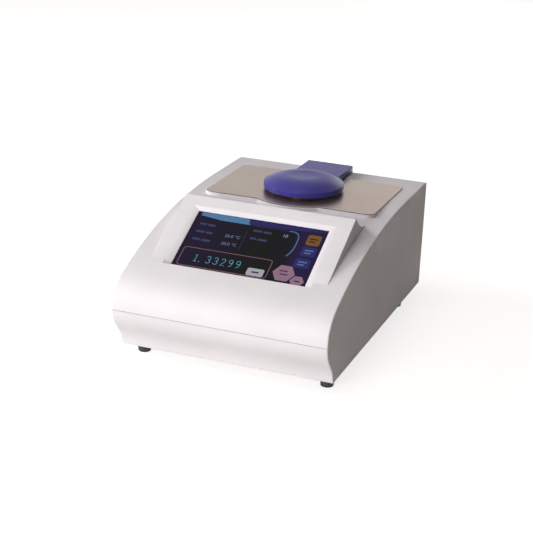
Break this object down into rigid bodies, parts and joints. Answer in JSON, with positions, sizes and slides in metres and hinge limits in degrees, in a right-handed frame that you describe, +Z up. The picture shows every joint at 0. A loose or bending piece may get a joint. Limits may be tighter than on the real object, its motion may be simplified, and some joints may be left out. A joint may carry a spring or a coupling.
{
  "type": "digital bench refractometer",
  "caption": "Bench refractometer: white moulded case with a sloping touch screen, a steel stage with a sample dish, and a blue hinged lid on an arm.",
  "frame": {"origin": "on the bench under the middle of the instrument: the centre of the bottom of its bounding box, where the feet stand", "axes": "+X to the right seen from the front, +Y from the screen end to the rear panel, +Z up"},
  "size_m": [0.25, 0.368, 0.168],
  "materials": {
    "case_white": "fine textured, satin",
    "stainless": "fine brushed",
    "zinc_steel": "zinc plated",
    "alloy": "satin",
    "copper": "machined copper",
    "brass_plated": "turned",
    "rubber_black": "moulded",
    "screen_glass": "glossy",
    "optic_glass": "polished",
    "black_plastic": "fine textured",
    "white_ceramic": "ceramic faced",
    "circuit_board": "solder mask",
    "supply_board": "paper laminate",
    "ribbon_grey": "flat cable",
    "wire_brown": "insulated wire",
    "wire_grey": "insulated wire",
    "lid_blue": "smooth satin",
    "liner_white": "satin"
  },
  "bodies": {
    "housing": {"upper_housing": "case_white", "lower_housing": "case_white", "rear_panel": "case_white", "top_plate": "stainless", "plate_nuts": "zinc_steel", "rubber_feet": "rubber_black", "foot_screws": "zinc_steel", "housing_screws": "zinc_steel", "case_screws": "zinc_steel", "touch_glass": "screen_glass", "display_gasket": "rubber_black", "lcd_panel": "alloy", "display_bracket": "zinc_steel", "display_screws": "zinc_steel", "display_board": "circuit_board", "display_ribbon": "ribbon_grey", "sample_dish": "stainless", "prism": "optic_glass", "prism_seal": "rubber_black", "stage_plate": "alloy", "optics_screws": "zinc_steel", "prism_block": "copper", "source_tube": "black_plastic", "condenser_lens": "optic_glass", "light_source": "alloy", "objective_tube": "black_plastic", "objective_lens": "optic_glass", "detector_housing": "black_plastic", "detector_board": "circuit_board", "peltier_module": "white_ceramic", "heat_sink": "alloy", "sink_screws": "zinc_steel", "fan_frame": "black_plastic", "temperature_sensor": "zinc_steel", "frame_posts": "zinc_steel", "chassis_plate": "zinc_steel", "chassis_screws": "zinc_steel", "supply_tray": "zinc_steel", "supply_cover": "zinc_steel", "supply_board": "supply_board", "main_board": "circuit_board", "board_standoffs": "brass_plated", "board_screws": "zinc_steel", "ports_board": "circuit_board", "serial_port": "zinc_steel", "usb_port": "zinc_steel", "power_inlet": "black_plastic", "power_switch": "black_plastic", "mains_wiring": "wire_brown", "signal_wiring": "wire_grey", "hinge_block": "zinc_steel"},
    "lid": {"lid_arm": "lid_blue", "lid_cap": "lid_blue", "lid_liner": "liner_white", "lid_seal": "rubber_black", "lid_screws": "zinc_steel", "hinge_pin": "zinc_steel"},
    "fan_wheel": {"fan_rotor": "black_plastic"},
    "rocker": {"switch_rocker": "black_plastic"},
    "drawer": {"fuse_drawer": "black_plastic"}
  },
  "joints": [
    {"name": "lid_hinge", "type": "hinge", "parent": "housing", "child": "lid", "pos_m": [0, 0.1763, 0.1533], "axis": [-1, 0, 0], "range_deg": [0, 95]},
    {"name": "fan_spin", "type": "hinge", "parent": "housing", "child": "fan_wheel", "pos_m": [0, 0.0781, 0.066], "axis": [0, 0, 1], "continuous": true},
    {"name": "power_rocker", "type": "hinge", "parent": "housing", "child": "rocker", "pos_m": [-0.045, 0.176, 0.056], "axis": [1, 0, 0], "range_deg": [0, 16]},
    {"name": "fuse_slide", "type": "slide", "parent": "housing", "child": "drawer", "axis": [0, 1, 0], "range_m": [0, 0.018]}
  ]
}
